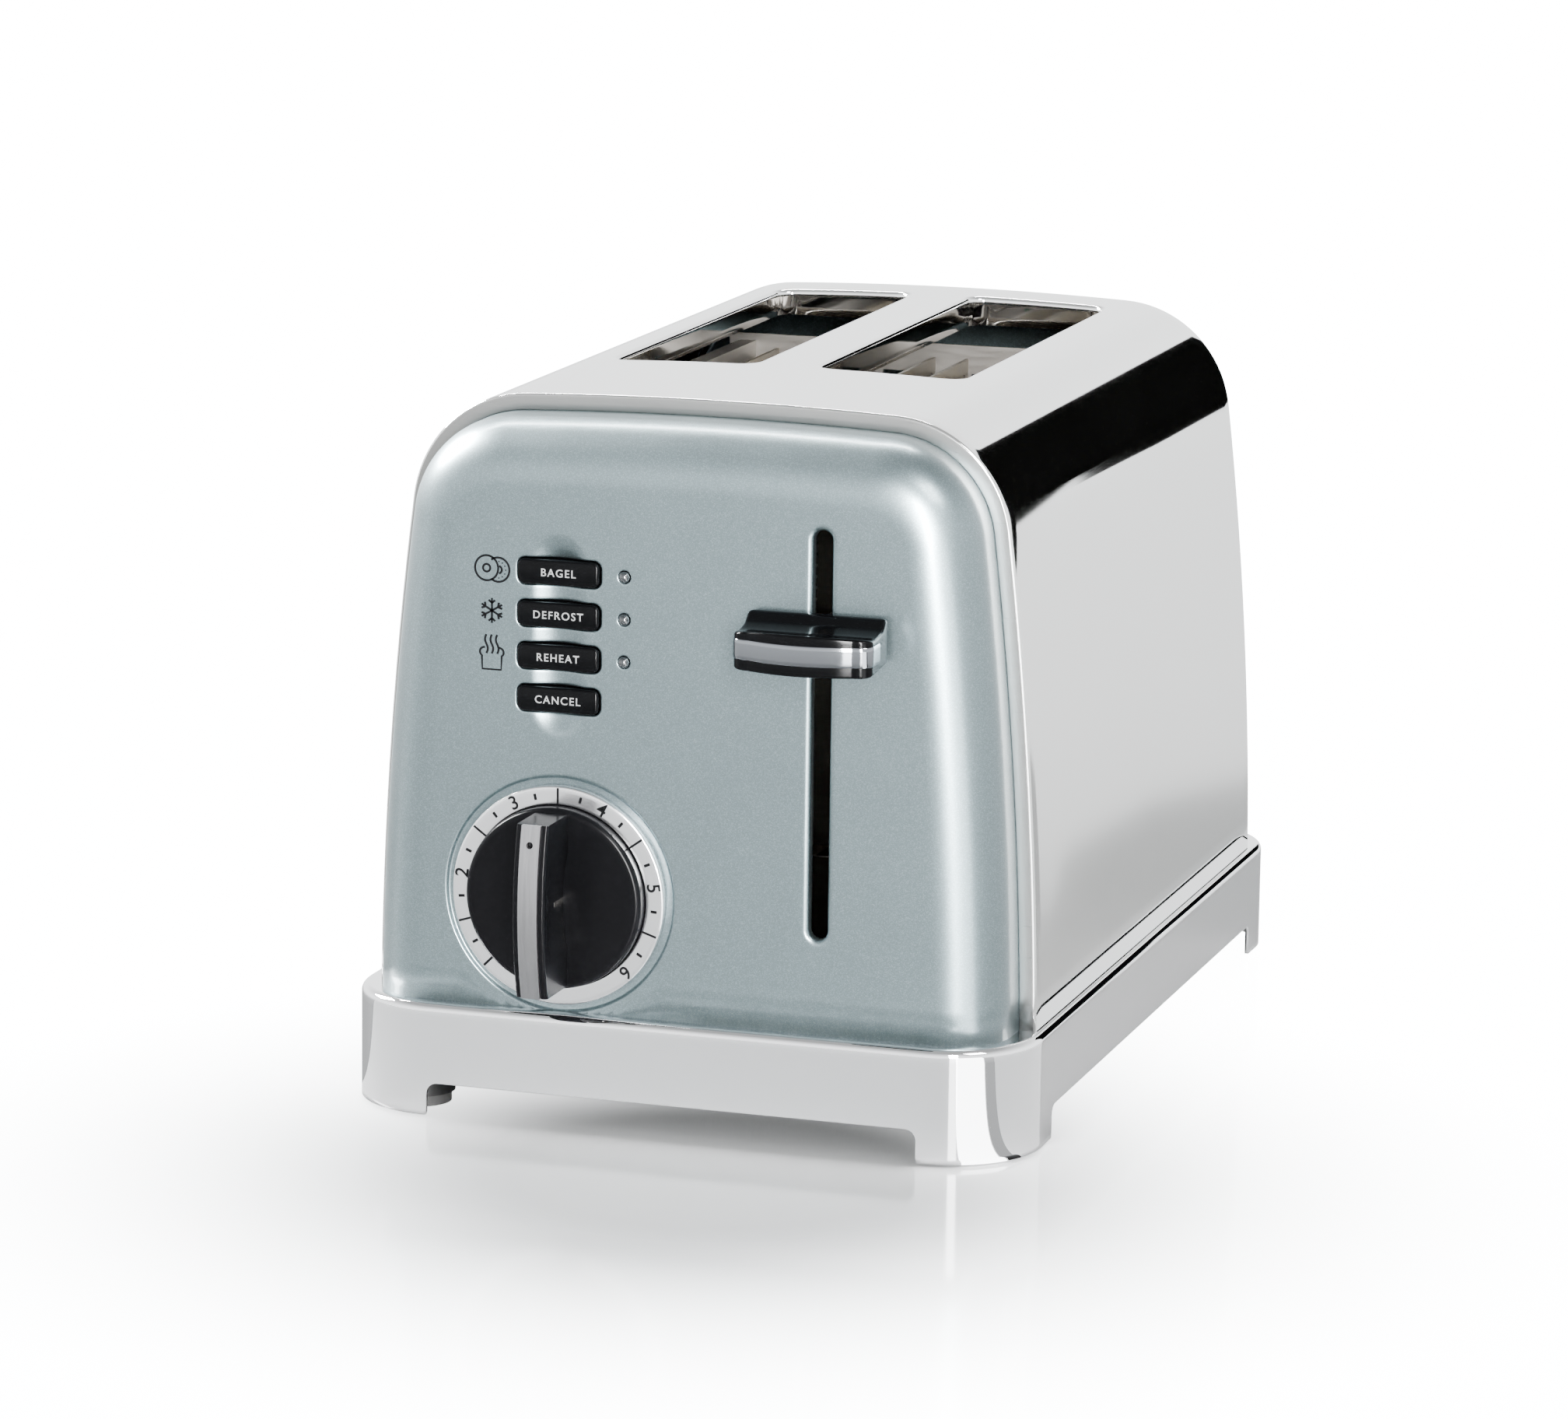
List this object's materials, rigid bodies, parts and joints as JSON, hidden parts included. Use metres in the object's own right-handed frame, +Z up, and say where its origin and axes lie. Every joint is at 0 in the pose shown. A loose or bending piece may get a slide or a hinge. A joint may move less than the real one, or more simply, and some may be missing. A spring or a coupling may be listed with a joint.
{
  "type": "pop-up toaster",
  "caption": "Pop-up toaster with a chromed base, a polished wrap with bread slots, painted end panels, a lift lever, push buttons, a browning dial and a crumb tray.",
  "frame": {"origin": "on the floor, under the middle of the overall footprint", "axes": "+Z up, controls face -Y, +X to the right seen from the front, slots run along Y"},
  "size_m": [0.188, 0.314, 0.192],
  "materials": {
    "chrome": "mirror-polished",
    "polished_steel": "polished",
    "panel_paint": "metallic satin",
    "black_plastic": "moulded",
    "gloss_black": "glossy",
    "brushed_trim": "brushed",
    "rubber": "matt",
    "lens": "smoked",
    "sheet_steel": "galvanised",
    "mica": "mica board",
    "heating_ribbon": "oxidised",
    "spring_steel": "wire",
    "board": "circuit board",
    "copper": "enamelled wire",
    "white_plastic": "moulded"
  },
  "bodies": {
    "housing": {"base_skirt": "chrome", "board_standoffs": "sheet_steel", "body_wrap": "polished_steel", "bottom_plate": "black_plastic", "bottom_screws": "spring_steel", "button_housing": "black_plastic", "chassis_front_plate": "sheet_steel", "chassis_rear_plate": "sheet_steel", "chassis_screws": "spring_steel", "contact_block": "black_plastic", "control_board": "board", "cord_inlet": "black_plastic", "dial_bezel": "chrome", "foot_pads": "rubber", "front_panel": "panel_paint", "guide_rod": "spring_steel", "heater_board_left_inner": "mica", "heater_board_left_outer": "mica", "heater_board_right_inner": "mica", "heater_board_right_outer": "mica", "heater_ribbon_left_inner": "heating_ribbon", "heater_ribbon_left_outer": "heating_ribbon", "heater_ribbon_right_inner": "heating_ribbon", "heater_ribbon_right_outer": "heating_ribbon", "led_lenses": "lens", "leds": "white_plastic", "left_reflector": "sheet_steel", "magnet_bracket": "sheet_steel", "magnet_coil": "copper", "magnet_core": "sheet_steel", "potentiometer": "black_plastic", "rear_panel": "panel_paint", "right_reflector": "sheet_steel", "tact_switches": "black_plastic", "terminal_block": "white_plastic"},
    "carriage": {"carriage_plate": "sheet_steel", "carriage_bush": "white_plastic", "bread_lifter_left": "spring_steel", "bread_lifter_right": "spring_steel", "lever_stem": "sheet_steel", "lever_handle": "gloss_black", "lever_trim": "chrome", "armature": "sheet_steel", "return_spring": "spring_steel"},
    "browning_knob": {"dial_knob": "gloss_black", "knob_strip": "brushed_trim", "knob_shaft": "spring_steel"},
    "crumb_tray": {"crumb_tray": "sheet_steel", "tray_pull": "black_plastic"},
    "button_bagel": {"button_bagel": "gloss_black"},
    "button_defrost": {"button_defrost": "gloss_black"},
    "button_reheat": {"button_reheat": "gloss_black"},
    "button_cancel": {"button_cancel": "gloss_black"},
    "bread_guide_left_outer": {"bread_guide_left_outer": "spring_steel"},
    "bread_guide_left_inner": {"bread_guide_left_inner": "spring_steel"},
    "bread_guide_right_outer": {"bread_guide_right_outer": "spring_steel"},
    "bread_guide_right_inner": {"bread_guide_right_inner": "spring_steel"}
  },
  "joints": [
    {"name": "carriage_slide", "type": "slide", "parent": "housing", "child": "carriage", "axis": [0, 0, 1], "range_m": [-0.07, 0.016], "stiffness_N_per_m": 60, "springref_m": 0.02, "deforming": ["return_spring"]},
    {"name": "knob_turn", "type": "hinge", "parent": "housing", "child": "browning_knob", "pos_m": [-0.0321, -0.132, 0.0626], "axis": [0, 1, 0], "range_deg": [-135, 135]},
    {"name": "crumb_tray_slide", "type": "slide", "parent": "housing", "child": "crumb_tray", "axis": [0, 1, 0], "range_m": [0, 0.2]},
    {"name": "bagel_press", "type": "slide", "parent": "housing", "child": "button_bagel", "axis": [0, 1, 0], "range_m": [0, 0.002], "stiffness_N_per_m": 400},
    {"name": "defrost_press", "type": "slide", "parent": "housing", "child": "button_defrost", "axis": [0, 1, 0], "range_m": [0, 0.002], "stiffness_N_per_m": 400},
    {"name": "reheat_press", "type": "slide", "parent": "housing", "child": "button_reheat", "axis": [0, 1, 0], "range_m": [0, 0.002], "stiffness_N_per_m": 400},
    {"name": "cancel_press", "type": "slide", "parent": "housing", "child": "button_cancel", "axis": [0, 1, 0], "range_m": [0, 0.002], "stiffness_N_per_m": 400},
    {"name": "left_outer_guide_slide", "type": "slide", "parent": "housing", "child": "bread_guide_left_outer", "axis": [1, 0, 0], "range_m": [-0.00193, 0.0081]},
    {"name": "left_inner_guide_slide", "type": "slide", "parent": "housing", "child": "bread_guide_left_inner", "axis": [-1, 0, 0], "range_m": [-0.00193, 0.0081]},
    {"name": "right_outer_guide_slide", "type": "slide", "parent": "housing", "child": "bread_guide_right_outer", "axis": [-1, 0, 0], "range_m": [-0.00193, 0.0081]},
    {"name": "right_inner_guide_slide", "type": "slide", "parent": "housing", "child": "bread_guide_right_inner", "axis": [1, 0, 0], "range_m": [-0.00193, 0.0081]}
  ],
  "couplings": [
    {"joint": "left_outer_guide_slide", "follows": "carriage_slide", "ratio": -0.11429},
    {"joint": "left_inner_guide_slide", "follows": "carriage_slide", "ratio": -0.11429},
    {"joint": "right_outer_guide_slide", "follows": "carriage_slide", "ratio": -0.11429},
    {"joint": "right_inner_guide_slide", "follows": "carriage_slide", "ratio": -0.11429}
  ]
}
